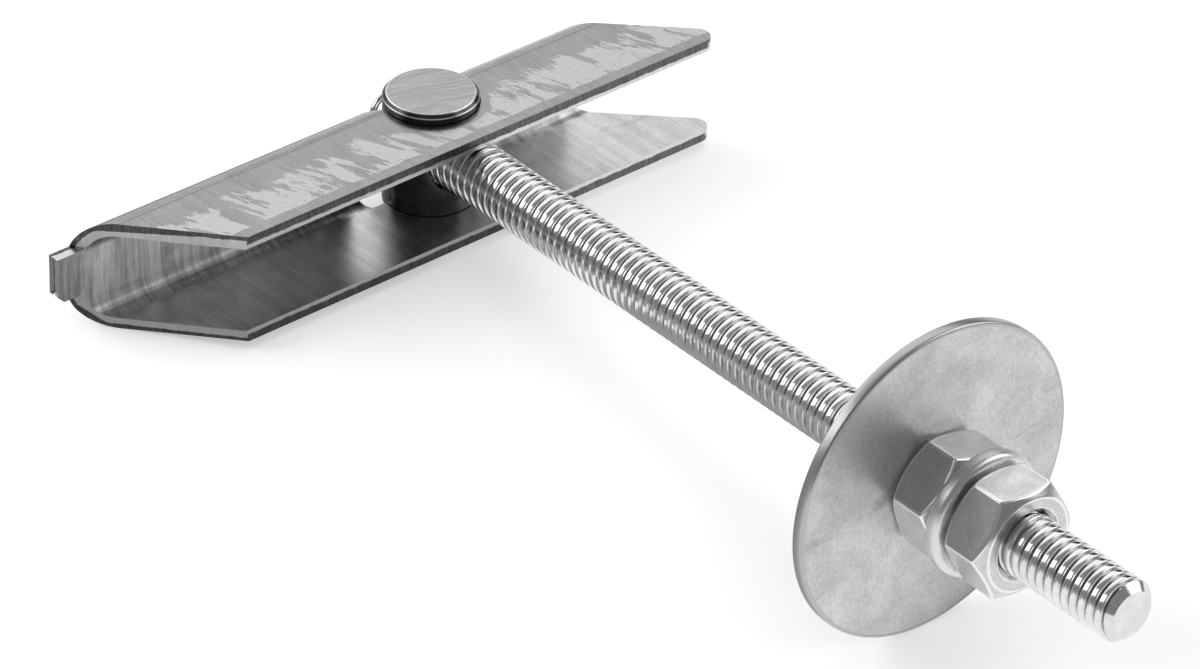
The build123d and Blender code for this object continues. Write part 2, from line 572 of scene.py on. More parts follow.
class Material:
    """A material under construction: its sheet, the shared patterns and the pivot frame's coordinates."""

    def __init__(self, name: str, pivot: PivotFrame, patterns: SharedPatterns) -> None:
        """Makes the material and its coordinates.

        Args:
            name: The material's name.
            pivot: The pivot frame, for coordinates in millimetres.
            patterns: The shared groups.
        """
        self.made = bpy.data.materials.new(name)
        self.patterns = patterns
        self.sheet = fresh_sheet(self.made)
        inputs = {
            "Vector": self.sheet.add("ShaderNodeTexCoord", output="Object"),
            "Location": pivot.from_row.translation,
            "Rotation": pivot.from_row.to_euler(),
            "Scale": pivot.from_row.to_scale(),
        }
        self.place = self.sheet.add("ShaderNodeMapping", inputs)

    def attribute(self, name: str, output: str = "Fac") -> Wire:
        """Reads a mesh attribute."""
        return self.sheet.add("ShaderNodeAttribute", output=output, attribute_name=name)

    def _group(self, tree: bpy.types.NodeTree, **inputs: Value) -> Wire:
        """Places a shared group, with underscores for the spaces in its inputs' names."""
        named = {label.replace("_", " ").title(): value for label, value in inputs.items()}
        return self.sheet.add("ShaderNodeGroup", named, node_tree=tree)

    def cloud(
        self, where: Wire, scale: float, speck_size: float, speck_share: float, pit_share: float
    ) -> tuple[Wire, Wire, Wire, Wire]:
        """Places the plating's clouds.

        Args:
            where: The place, in millimetres.
            scale: The clouds' fineness.
            speck_size: The crystals' size.
            speck_share: The share of the cells that are bright.
            pit_share: The share of the cells that are dark.

        Returns:
            The clouds, the fine grain, the bright specks and the dark pits.
        """
        shares = {"speck_size": speck_size, "speck_share": speck_share, "pit_share": pit_share}
        cloud = self._group(self.patterns.cloud, vector=where, scale=scale, **shares)
        return cloud, cloud.also("Fine"), cloud.also("Speck"), cloud.also("Pit")

    def grain(self, where: Wire, turn: float, fineness: float) -> Wire:
        """Places fine parallel marks, turned by an angle in radians."""
        turned = self.sheet.stretch(where, turn=turn)
        return self._group(self.patterns.grain, vector=turned, fineness=fineness)

    def scuff(self, where: Wire, scale: float, share: float) -> Wire:
        """Places rubbed strokes."""
        return self._group(self.patterns.scuff, vector=where, scale=scale, share=share)

    def dress(self, grey: Wire, roughness: Wire, height: Wire, depth: float) -> bpy.types.Material:
        """Wires a faintly cool grey, the roughness and the bump to a metal shader.

        Args:
            grey: The grey level.
            roughness: The roughness.
            height: The relief, from 0 to 1.
            depth: The relief's full height, in millimetres.

        Returns:
            The finished material.
        """
        sheet = self.sheet
        colour = {0: grey, 1: grey, 2: grey * (1.0 + COOL_TINT)}
        bump = {"Height": height, "Distance": depth * METRES, "Strength": 1.0}
        inputs = {
            "Metallic": 1.0,
            "Base Color": sheet.add("ShaderNodeCombineColor", colour),
            "Roughness": roughness,
            "Normal": sheet.add("ShaderNodeBump", bump),
        }
        sheet.node("ShaderNodeOutputMaterial", {"Surface": sheet.add("ShaderNodeBsdfPrincipled", inputs)})
        return self.made


@dataclass(frozen=True, kw_only=True)
class Finish(ABC):
    """A metal finish."""

    name: str
    relief: float

    @abstractmethod
    def paint(self, made: Material) -> Coat:
        """Works the finish out.

        Args:
            made: The material under construction.

        Returns:
            The grey level, the roughness and the relief's height.
        """

    def material(self, pivot: PivotFrame, patterns: SharedPatterns) -> bpy.types.Material:
        """Builds the finish.

        Args:
            pivot: The pivot frame.
            patterns: The shared groups.

        Returns:
            The material.
        """
        made = Material(self.name, pivot, patterns)
        return made.dress(*self.paint(made), self.relief)


@dataclass(frozen=True, kw_only=True)
class ZincPlate(Finish):
    """Zinc plating over steel, cloudy and specked, with its rounded edges painted another grey: a painted
    highlight where that grey is lighter, painted shade where it is darker.
    """

    grey: float
    cloud_depth: float
    cloud_scale: float
    roughness: float
    painted_edge_grey: float
    grain_depth: float
    edge_roughness: float = 0.12
    speck_grey: float = 0.92
    speck_size: float = 0.16
    speck_share: float = 0.10
    pit_share: float = 0.04
    scuff_scale: float = 0.7
    scuff_share: float = 0.30
    scuff_roughness: float = 0.12
    cloud_span: Span = (0.30, 0.72)
    edge_span: Span = (0.25, 0.9)

    def paint(self, made: Material) -> Coat:
        """Works the plating out.

        Args:
            made: The material under construction.

        Returns:
            The grey level, the roughness and the relief's height.
        """
        sheet = made.sheet
        cloud, fine, speck, pit = made.cloud(
            made.place, self.cloud_scale, self.speck_size, self.speck_share, self.pit_share
        )
        scuff = made.scuff(made.place, self.scuff_scale, self.scuff_share)
        edge = sheet.ramp(made.attribute("edge"), *self.edge_span)
        clouds = sheet.ramp(cloud, *self.cloud_span, -1.0, 1.0)
        level = clouds * self.cloud_depth + self.grey + (fine - 0.5) * (self.grain_depth * 2)
        level = sheet.blend(level, scuff, share=0.35, grey=self.grey * 0.55)
        level = sheet.blend(level, pit, share=0.5, grey=self.grey * 0.4)
        level = sheet.blend(level, speck, share=0.75, grey=self.speck_grey)
        # The rounded edges are painted the edge grey: a painted highlight on the nuts and the ring, painted
        # shade on the large washer's rim.
        level = sheet.blend(level, edge, share=0.8, grey=self.painted_edge_grey)
        rough = clouds * -0.05 + self.roughness + scuff * self.scuff_roughness
        return level, sheet.mix(edge, rough, self.edge_roughness), sheet.mix(0.5, fine, cloud)


@dataclass(frozen=True, kw_only=True)
class ThreadPlate(Finish):
    """Bright zinc on a rolled thread: polished crests, and rougher roots painted darker as painted shade."""

    crest_grey: float
    shaded_root_grey: float
    roughness: float
    root_roughness: float
    relief: float = 0.004
    unevenness: float = 0.06

    def paint(self, made: Material) -> Coat:
        """Works the thread's plating out.

        Args:
            made: The material under construction.

        Returns:
            The grey level, the roughness and the relief's height.
        """
        sheet = made.sheet
        crest = sheet.ramp(made.attribute("crest"), 0.1, 0.8)
        cloud, fine, _, pit = made.cloud(made.place, 0.5, speck_size=0.12, speck_share=0.06, pit_share=0.05)
        uneven = sheet.ramp(cloud, 0.35, 0.68, -self.unevenness, self.unevenness)
        # The roots are painted darker than the crests, as painted shade in the thread's grooves.
        level = sheet.mix(crest, self.shaded_root_grey, self.crest_grey) + uneven
        level = sheet.blend(level, pit, share=0.6, grey=self.shaded_root_grey * 0.6)
        rough = sheet.mix(crest, self.root_roughness, self.roughness)
        return level, fine * 0.05 + rough, fine


@dataclass(frozen=True, kw_only=True)
class TurnedSteel(Finish):
    """The barrel: a brushed end face, a polished side painted dark as painted shade, and a chamfer painted
    bright as a painted highlight.
    """

    face_grey: float
    shaded_side_grey: float
    painted_edge_grey: float
    face_roughness: float
    side_roughness: float
    brushing: float
    relief: float = 0.012
    fineness: float = 15.0
    pit_grey: float = 0.08
    speck_grey: float = 0.85
    edge_roughness: float = 0.14

    def paint(self, made: Material) -> Coat:
        """Works the turned steel out.

        Args:
            made: The material under construction.

        Returns:
            The grey level, the roughness and the relief's height.
        """
        sheet = made.sheet
        edge = sheet.ramp(made.attribute("edge"), 0.3, 0.9)
        face = made.attribute("face")
        grain = made.grain(made.place, radians(self.brushing), self.fineness)
        cloud, fine, speck, pit = made.cloud(
            made.place, 0.45, speck_size=0.14, speck_share=0.05, pit_share=0.03
        )
        top = sheet.ramp(grain, 0.34, 0.66, -0.10, 0.10) + self.face_grey + (fine - 0.5) * 0.35
        # The side is painted near black, as painted shade.
        side = sheet.ramp(cloud, 0.35, 0.68, -0.02, 0.02) + self.shaded_side_grey
        level = sheet.mix(face, side, top)
        level = sheet.blend(level, pit, share=0.6, grey=self.pit_grey)
        level = sheet.blend(level, speck, share=0.5, grey=self.speck_grey)
        # The chamfers are painted near white, as a painted highlight.
        level = sheet.mix(edge, level, self.painted_edge_grey)
        rough = sheet.mix(face, self.side_roughness, self.face_roughness)
        return level, sheet.mix(edge, rough, self.edge_roughness), sheet.mix(face, fine, grain)


@dataclass(frozen=True, kw_only=True)
class GalvanisedSheet(Finish):
    """The toggle's sheet: grey zinc, pale rubbed patches, a pale bend, and sheared edges in two bands."""

    grey: float
    patch_grey: float
    bend_grey: float
    lit_inside_grey: float
    burnish_grey: float
    tear_grey: float
    free_reach: float
    flat_reach: float
    thickness: float
    relief: float = 0.010
    roughness: float = 0.28
    patch_roughness: float = 0.40
    inside_roughness: float = 0.31
    nick_glint_grey: float = 0.97
    nick_roughness: float = 0.15
    flange_inner_light: float = 1.2
    flange_inner_light_fade: Span = (-0.5, 2.5)
    bend_start: Span = (-0.1, 0.5)
    line_place: float = -0.05
    line_width: Span = (0.04, 0.13)
    burnish_and_shade_ring: Span = (5.3, 5.6)
    patch_slant: float = 0.35
    patch_rise: Span = (0.75, 1.5)
    patch_fall: Span = (3.2, 8.8)
    patch_border: Span = (0.87, 0.88)

    def paint(self, made: Material) -> Coat:
        """Works the sheet's faces, bends and sheared edges out.

        Args:
            made: The material under construction.

        Returns:
            The grey level, the roughness and the relief's height.
        """
        sheet = made.sheet
        where = made.attribute("unfolded", "Vector")
        across, along, depth = sheet.parts(where)
        inward = self.free_reach - abs(across)
        outside = sheet.math("LESS_THAN", depth, self.thickness / 2)
        cloud, fine, _, pit = made.cloud(where, 0.35, speck_size=0.22, speck_share=0.12, pit_share=0.05)
        grain = made.grain(where, pi / 2, fineness=2.6)
        clouds = sheet.ramp(cloud, 0.32, 0.70, -1.0, 1.0)
        streaks = sheet.ramp(grain, 0.34, 0.66, -1.0, 1.0)
        past_flat = inward - self.flat_reach
        bend = sheet.ramp(past_flat, *self.bend_start)
        patch = self._patches(made, where, along, inward)

        def tone(grey: float, cloudy: float, streaked: float, flecked: float) -> Wire:
            """A grey that the clouds, the streaks and the flecks make uneven by so much."""
            return clouds * cloudy + grey + streaks * streaked + (fine - 0.5) * flecked

        plain = tone(self.grey, cloudy=0.035, streaked=0.03, flecked=0.30)
        pale = tone(self.patch_grey, cloudy=0.03, streaked=0.0, flecked=0.26)
        mottled = tone(self.bend_grey, cloudy=0.05, streaked=0.0, flecked=0.5)
        skin = sheet.mix(bend, sheet.mix(patch, plain, pale), mottled)
        line = sheet.ramp(abs(past_flat - self.line_place), *self.line_width, 1.0, 0.0)
        skin = sheet.blend(skin, line, share=0.6, grey=self.grey * 0.45)

        # The inner faces are painted lighter than the outer skin, as painted light.
        inner = tone(self.lit_inside_grey, cloudy=0.06, streaked=0.06, flecked=0.30)
        rubbed = made.scuff(where, 0.55, share=0.35)
        inner = sheet.blend(inner, rubbed, share=0.5, grey=self.lit_inside_grey * 0.45)
        drawn = sheet.noise(where, stretch=(0.10, 1.3, 1.0), detail=4.0, roughness=0.65)
        inner = inner + sheet.ramp(drawn, 0.36, 0.64, -0.15, 0.15) * bend
        # The flanges' inner faces are painted lighter still than the web's, as painted light.
        inner = inner * sheet.ramp(past_flat, *self.flange_inner_light_fade, self.flange_inner_light, 1.0)

        level = sheet.mix(outside, inner, skin)
        level = sheet.blend(level, pit, share=0.6, grey=self.grey * 0.45)
        level = sheet.mix(made.attribute("cut"), level, self._sheared(made, where, depth))
        # Near-white flecks along the arrises: partly nicks, partly painted glints.
        nick_glint_noise = sheet.ramp(sheet.noise(where, 0.9, detail=4.0, roughness=0.8), 0.52, 0.56)
        nick_glint_mask = made.attribute("arris") * nick_glint_noise
        rough = sheet.mix(patch, self.roughness, self.patch_roughness)
        rough = sheet.mix(outside, self.inside_roughness, rough) + clouds * 0.03
        height = sheet.mix(0.5, sheet.mix(0.4, fine, grain), cloud)
        return sheet.mix(nick_glint_mask, level, self.nick_glint_grey), sheet.mix(nick_glint_mask, rough, self.nick_roughness), height

    def _sheared(self, made: Material, where: Wire, depth: Wire) -> Wire:
        """A sheared edge: a burnished band, then a torn one, with a wandering border.

        Args:
            made: The material under construction.
            where: The place on the unfolded sheet.
            depth: The depth below the outer skin.

        Returns:
            The edge's grey level.
        """
        sheet = made.sheet
        wander = sheet.noise(where, 0.8, detail=4.0, roughness=0.7) - 0.5
        beyond = wander * 0.35 + depth - made.attribute("burnish") * self.thickness
        streaky = sheet.noise(where, 1.2, (1.0, 6.0, 0.6), detail=4.0, roughness=0.75)
        bands = sheet.mix(sheet.ramp(beyond, -0.05, 0.05), self.burnish_grey, self.tear_grey)
        return bands + sheet.ramp(streaky, 0.35, 0.7, -0.05, 0.07)

    def _patches(self, made: Material, where: Wire, along: Wire, inward: Wire) -> Wire:
        """The pale patches: full near the free edge, with a comb-like border towards the bend.

        Args:
            made: The material under construction.
            where: The place on the unfolded sheet.
            along: The place along the toggle.
            inward: The distance from the free edge.

        Returns:
            A mask of the patches, which is clear round the pivot.
        """
        sheet = made.sheet
        slanted = sheet.joined(inward, inward * self.patch_slant + along)
        body = sheet.noise(slanted, stretch=(0.16, 0.34, 1.0))
        comb = sheet.noise(slanted, stretch=(0.34, 1.5, 1.0), detail=7.0, roughness=0.78, distortion=0.25)
        split = sheet.noise(slanted, stretch=(0.10, 0.50, 1.0), detail=5.0, roughness=0.7)
        pitted = sheet.noise(where, 2.6, detail=3.0, roughness=0.6)
        rise = sheet.ramp(inward, *self.patch_rise, -0.9, 0.0)
        fall = sheet.ramp(inward, *self.patch_fall, 0.24, -0.42)
        level = body * 0.9 + comb + (rise + fall)
        mask = sheet.ramp(level, *self.patch_border) * sheet.ramp(split, 0.465, 0.475)
        x, y, _ = sheet.parts(made.place)
        # Round the barrel the pale patches are left out, so the sheet stays a plainer, darker grey: partly a
        # burnished ring, partly painted shade round the barrel's foot.
        clear = sheet.ramp(sheet.math("SQRT", x * x + y * y), *self.burnish_and_shade_ring)
        return mask * sheet.ramp(pitted, 0.335, 0.35) * clear


@dataclass(kw_only=True)
class Piece(ABC):
    """A dressed piece, which stands for one CAD node."""

    pivot: PivotFrame
    node: str
    body: Body
    slot: Slot
    smooth: float = 40.0
    flatten: bool = False
    material: bpy.types.Material | None = None

    @abstractmethod
    def shape(self) -> Mesh:
        """Makes the piece's mesh.

        Returns:
            The mesh, in the pivot frame.
        """

    def build(self, material: bpy.types.Material) -> bpy.types.Object:
        """Shapes the piece, settles it in the row frame and dresses it.

        Args:
            material: Its finish.

        Returns:
            The piece.
        """
        self.material = material
        mesh = self.shape()
        mesh.transform(self.pivot.to_row)
        mesh.shade_smooth()
        mesh.set_sharp_from_angle(angle=radians(self.smooth))
        if self.flatten:
            mesh = flattened(mesh)
        mesh.materials.clear()
        mesh.materials.append(material)
        piece = placed(f"{self.node}_dressed", mesh)
        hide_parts(self.node)
        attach(piece, self.body.value)
        log.info("%s: %d faces, rides on %s", piece.name, len(mesh.polygons), self.body.value)
        return piece


@dataclass(kw_only=True)
class ThreadedRod(Piece):
    """The rod, with its thread rolled along its whole length by a node tree."""

    node: str = "threaded_rod"
    body: Body = Body.ROD
    slot: Slot = Slot.THREAD
    pitch: float = 1.0
    thread_depth: float = 0.56
    crown: float = 0.045
    chamfer: float = 0.7
    phase: float = -0.19
    segments: int = 40
    steps: int = 16
    spare_turns: float = 3.0
    flank: Span = (0.54, 0.98)
    bright_end: Span = (0.05, 0.3)

    def shape(self) -> Mesh:
        """Runs the tree and merges the mesh's seams.

        Returns:
            The rod, in the pivot frame.
        """
        start, end, radius = self.pivot.reach(self.node)
        values = {
            "Start": start,
            "Length": end - start,
            "Radius": radius,
            "Pitch": self.pitch,
            "Depth": self.thread_depth,
            "Crown": self.crown,
            "Chamfer": self.chamfer,
            "Phase": self.phase,
            "Segments": self.segments,
            "Steps": self.steps,
            "Material": self.material,
        }
        tree = self._tree(values)
        carrier = placed("rod_carrier", bpy.data.meshes.new("rod_carrier"))
        rolling = carrier.modifiers.new("rolling", "NODES")
        rolling.node_group = tree
        for item in tree.interface.items_tree:
            if item.in_out == "INPUT":
                rolling[item.identifier] = values[item.name]
        mesh = evaluated(carrier)
        work = bmesh.new()
        work.from_mesh(mesh)
        return sealed(work, mesh)

    def _tree(self, values: dict) -> bpy.types.NodeTree:
        """A grid wound into a helix, whose radius follows the thread's section and the end chamfers.

        Args:
            values: The tree's inputs.

        Returns:
            The tree.
        """
        sheet = GroupSheet("rolled_thread", values, ("Geometry",), geometry=True)
        given = sheet.given
        length = given["Length"]
        turns = sheet.math("CEIL", length / given["Pitch"]) + self.spare_turns
        counts = {"Vertices X": turns * given["Segments"] + 1.0, "Vertices Y": given["Steps"] + 1.0}
        grid = sheet.add("GeometryNodeMeshGrid", {"Size X": 1.0, "Size Y": 1.0} | counts)
        x, y, _ = sheet.parts(sheet.add("GeometryNodeInputPosition"))
        wound = (x + 0.5) * turns
        section = y + 0.5
        lead = (wound + section + (given["Phase"] - 1.0)) * given["Pitch"]
        along = sheet.math("MINIMUM", sheet.math("MAXIMUM", lead, 0.0), length)
        from_crest = abs(section * 2.0 - 1.0)
        crest = sheet.ramp(from_crest, *self.flank, 1.0, 0.0)
        sunk = (1.0 - crest) * given["Depth"] + sheet.math("POWER", from_crest, 2.0) * given["Crown"]
        to_end = sheet.math("MINIMUM", along, length - along)
        end_radius = given["Radius"] - given["Chamfer"]
        radius = sheet.math("MINIMUM", given["Radius"] - sunk, end_radius + to_end)
        angle = wound * (2 * pi)
        across = radius * sheet.math("COSINE", angle)
        beside = radius * sheet.math("SINE", angle)
        bright = sheet.math("MAXIMUM", crest, sheet.ramp(to_end, *self.bright_end, 1.0, 0.0))
        marked = self._marked(sheet, grid, bright)
        spot = sheet.joined(given["Start"] + along, across, beside)
        solids = [sheet.add("GeometryNodeSetPosition", {"Geometry": marked, "Position": spot})]
        for side in (0.0, 1.0):
            circle = {"Vertices": given["Segments"], "Radius": end_radius}
            disc = sheet.add("GeometryNodeMeshCircle", circle, fill_type="NGON")
            x, y, _ = sheet.parts(sheet.add("GeometryNodeInputPosition"))
            spot = sheet.joined(length * side + given["Start"], x, y)
            cap = sheet.add("GeometryNodeSetPosition", {"Geometry": disc, "Position": spot})
            solids.append(self._marked(sheet, cap, 1.0))
        whole = sheet.add("GeometryNodeJoinGeometry", {0: solids})
        real = sheet.add("GeometryNodeRealizeInstances", {"Geometry": whole})
        coated = sheet.add("GeometryNodeSetMaterial", {"Geometry": real, "Material": given["Material"]})
        return sheet.leave({"Geometry": coated})

    @staticmethod
    def _marked(sheet: Sheet, geometry: Wire, crest: Value) -> Wire:
        """Stores how much of a crest each point is."""
        inputs = {"Geometry": geometry, "Name": "crest", "Value": crest}
        return sheet.add("GeometryNodeStoreNamedAttribute", inputs, data_type="FLOAT", domain="POINT")


@dataclass(kw_only=True)
class FlatWasher(Piece):
    """A stamped washer with rounded rims."""

    rim_radius: float
    bore: float = 6.4
    bore_radius: float = 0.12
    segments: int = 180
    arc_steps: int = 5
    support: float = 0.35
    least_support: float = 0.02
    edge_band: float = 0.05

    def shape(self) -> Mesh:
        """Turns the washer's section.

        Returns:
            The washer, in the pivot frame.
        """
        seat, face, radius = self.pivot.reach(self.node)
        corners = (
            (seat, self.bore / 2, self.bore_radius),
            (seat, radius, self.rim_radius),
            (face, radius, self.rim_radius),
            (face, self.bore / 2, self.bore_radius),
        )
        room = (face - seat) / 2 - self.rim_radius - self.least_support / 2
        outline = rounded(corners, self.arc_steps, max(min(self.support, room), self.least_support))
        # The rim's outer band is marked as edge too, so the finish paints it the painted edge grey.
        rim = radius - self.edge_band
        outline = [(along, reach, 1.0 if reach > rim else mark) for along, reach, mark in outline]
        return revolved(self.node, outline, self.segments, upright=False, closed=True)


@dataclass(kw_only=True)
class HexNut(Piece):
    """A hexagon nut, chamfered on both sides, with every edge rounded."""

    turn: float
    slot: Slot = Slot.NUT
    across_flats: float = 9.8
    face_share: float = 0.91
    chamfer_angle: float = 35.0
    bore_radius: float = 2.94
    countersink: float = 0.5
    arc_radius: float = 0.27
    bore_arc: float = 0.05
    corner_radius: float = 0.22
    arc_steps: int = 4
    flat_steps: int = 9
    corner_steps: int = 4
    support: float = 0.12
    flat_support: float = 0.3

    def __post_init__(self) -> None:
        """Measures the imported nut, and works out where its flats end and its rounded corners begin."""
        self.seat, self.face, _ = self.pivot.reach(self.node)
        self.apothem = self.across_flats / 2
        self.inner = self.apothem - self.corner_radius
        self.tangent = atan(self.inner * tan(pi / 6) / self.apothem)

    def shape(self) -> Mesh:
        """Shapes the nut as one section for each direction from its axis.

        Returns:
            The nut, in the pivot frame.
        """
        directions = self._directions()
        sections = np.array([self._section(local) for local, _ in directions])
        angles = np.array([angle for _, angle in directions])
        return shell(self.node, sections.transpose(1, 0, 2), angles, upright=False, closed=True)

    def _directions(self) -> list[Span]:
        """The directions from the nut's axis, close together at its corners.

        Returns:
            Each direction's angle from the middle of its flat, and its angle about the rod.
        """
        flat_end = atan((self.inner * tan(pi / 6) - self.flat_support) / self.apothem)
        corner = pi / 6 - self.tangent
        half = [flat_end * step / self.flat_steps for step in range(self.flat_steps + 1)]
        half += [self.tangent + corner * step / self.corner_steps for step in range(self.corner_steps + 1)]
        sector = [-angle for angle in reversed(half[1:-1])] + half
        directions = []
        for flat in range(6):
            middle = radians(self.turn) + pi / 6 + flat * pi / 3
            directions += [(local, middle + local) for local in sector]
        return directions

    def _section(self, local: float) -> list[Triple]:
        """The nut's section in one direction.

        Args:
            local: The angle from the nearest flat's middle.

        Returns:
            The section's points, each with its edge mark.
        """
        centre = self.inner / cos(pi / 6)
        from_corner = pi / 6 - abs(local)
        outer = self.apothem / cos(local)
        on_corner = abs(local) > self.tangent - TINY
        if on_corner:
            off_centre = centre * sin(from_corner)
            outer = centre * cos(from_corner) + sqrt(max(self.corner_radius**2 - off_centre**2, 0.0))
        face_radius = self.face_share * self.apothem
        chamfer = (outer - face_radius) * tan(radians(self.chamfer_angle))
        low = self.seat + chamfer
        high = self.face - chamfer
        mouth = self.bore_radius + self.countersink
        corners = (
            (self.seat, mouth, self.bore_arc),
            (self.seat, face_radius, self.arc_radius),
            (low, outer, self.arc_radius),
            (high, outer, self.arc_radius),
            (self.face, face_radius, self.arc_radius),
            (self.face, mouth, self.bore_arc),
            (self.face - self.countersink, self.bore_radius, self.bore_arc),
            (self.seat + self.countersink, self.bore_radius, self.bore_arc),
        )
        outline = rounded(corners, self.arc_steps, self.support)
        # The rounded corners between the chamfers are marked as edge, for the finish's painted highlight.
        if on_corner:
            outline = [(x, r, 1.0 if low < x < high and r > face_radius else mark) for x, r, mark in outline]
        return outline


@dataclass(kw_only=True)
class BarrelNut(Piece):
    """The barrel that the toggle swings on, with its tapped cross bore."""

    node: str = "barrel_nut"
    body: Body = Body.ROD
    slot: Slot = Slot.TURNED
    chamfer: float = 0.35
    edge_radius: float = 0.10
    edge_steps: int = 3
    edge_support: float = 0.06
    bore_radius: float = 2.94
    bore_countersink: float = 0.6
    beyond: float = 1.0
    segments: int = 144
    face_share: float = 0.9
    flat_normal: float = 0.99
    near: float = 0.01

    def __post_init__(self) -> None:
        """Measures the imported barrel."""
        points = self.pivot.points(self.node)
        self.foot = points[:, 2].min()
        self.top = points[:, 2].max()
        self.radius = np.hypot(points[:, 0], points[:, 1]).max()
        self.rim = self.radius - self.chamfer

    def shape(self) -> Mesh:
        """Turns the barrel, cuts its bore and marks its flat ends.

        Returns:
            The barrel, in the pivot frame.
        """
        blank = revolved(self.node, self._outline(), self.segments, upright=True, closed=False)
        body = placed("blank", blank)
        tool = placed("cutter", self._cutter())
        cut = body.modifiers.new("bore", "BOOLEAN")
        cut.operation = "DIFFERENCE"
        cut.solver = "EXACT"
        cut.object = tool
        mesh = evaluated(body, tool)
        self._mark_faces(mesh)
        return mesh

    def _outline(self) -> list[Triple]:
        """The section of the barrel before it is bored, from the middle of its foot to that of its top.

        Returns:
            The heights and radii, each with its edge mark.
        """
        inset = self.rim * self.face_share
        corners = (
            (self.foot, inset, self.edge_radius),
            (self.foot, self.rim, self.edge_radius),
            (self.foot + self.chamfer, self.radius, self.edge_radius),
            (self.top - self.chamfer, self.radius, self.edge_radius),
            (self.top, self.rim, self.edge_radius),
            (self.top, inset, self.edge_radius),
        )
        arcs = rounded(corners, self.edge_steps, self.edge_support)
        per_corner = len(arcs) // len(corners)
        first = [(self.foot, 0.0, 0.0), (self.foot, inset, 0.0)]
        last = [(self.top, inset, 0.0), (self.top, 0.0, 0.0)]
        return first + arcs[per_corner:-per_corner] + last

    def _cutter(self) -> Mesh:
        """The bore with its two countersinks, as a solid along the rod.

        Returns:
            The mesh to take away.
        """
        end = self.radius + self.beyond
        mouth = self.bore_radius + self.bore_countersink + self.beyond / 2
        inner = self.radius - 2 * self.bore_countersink
        half = [(end, 0.0, 0.0), (end, mouth, 0.0), (inner, self.bore_radius, 0.0)]
        outline = [(-along, reach, mark) for along, reach, mark in half] + half[::-1]
        return revolved("bore", outline, self.segments, upright=False, closed=False)

    def _mark_faces(self, mesh: Mesh) -> None:
        """Stores which faces are the barrel's flat ends, as the attribute "face".

        Args:
            mesh: The bored barrel.
        """
        flat = mesh.attributes.new("face", "FLOAT", "FACE")
        for polygon in mesh.polygons:
            middle = polygon.center
            level = abs(polygon.normal.z) > self.flat_normal
            within = hypot(middle.x, middle.y) < self.rim + self.near
            at_end = min(abs(middle.z - self.foot), abs(middle.z - self.top)) < self.near
            flat.data[polygon.index].value = 1.0 if level and within and at_end else 0.0


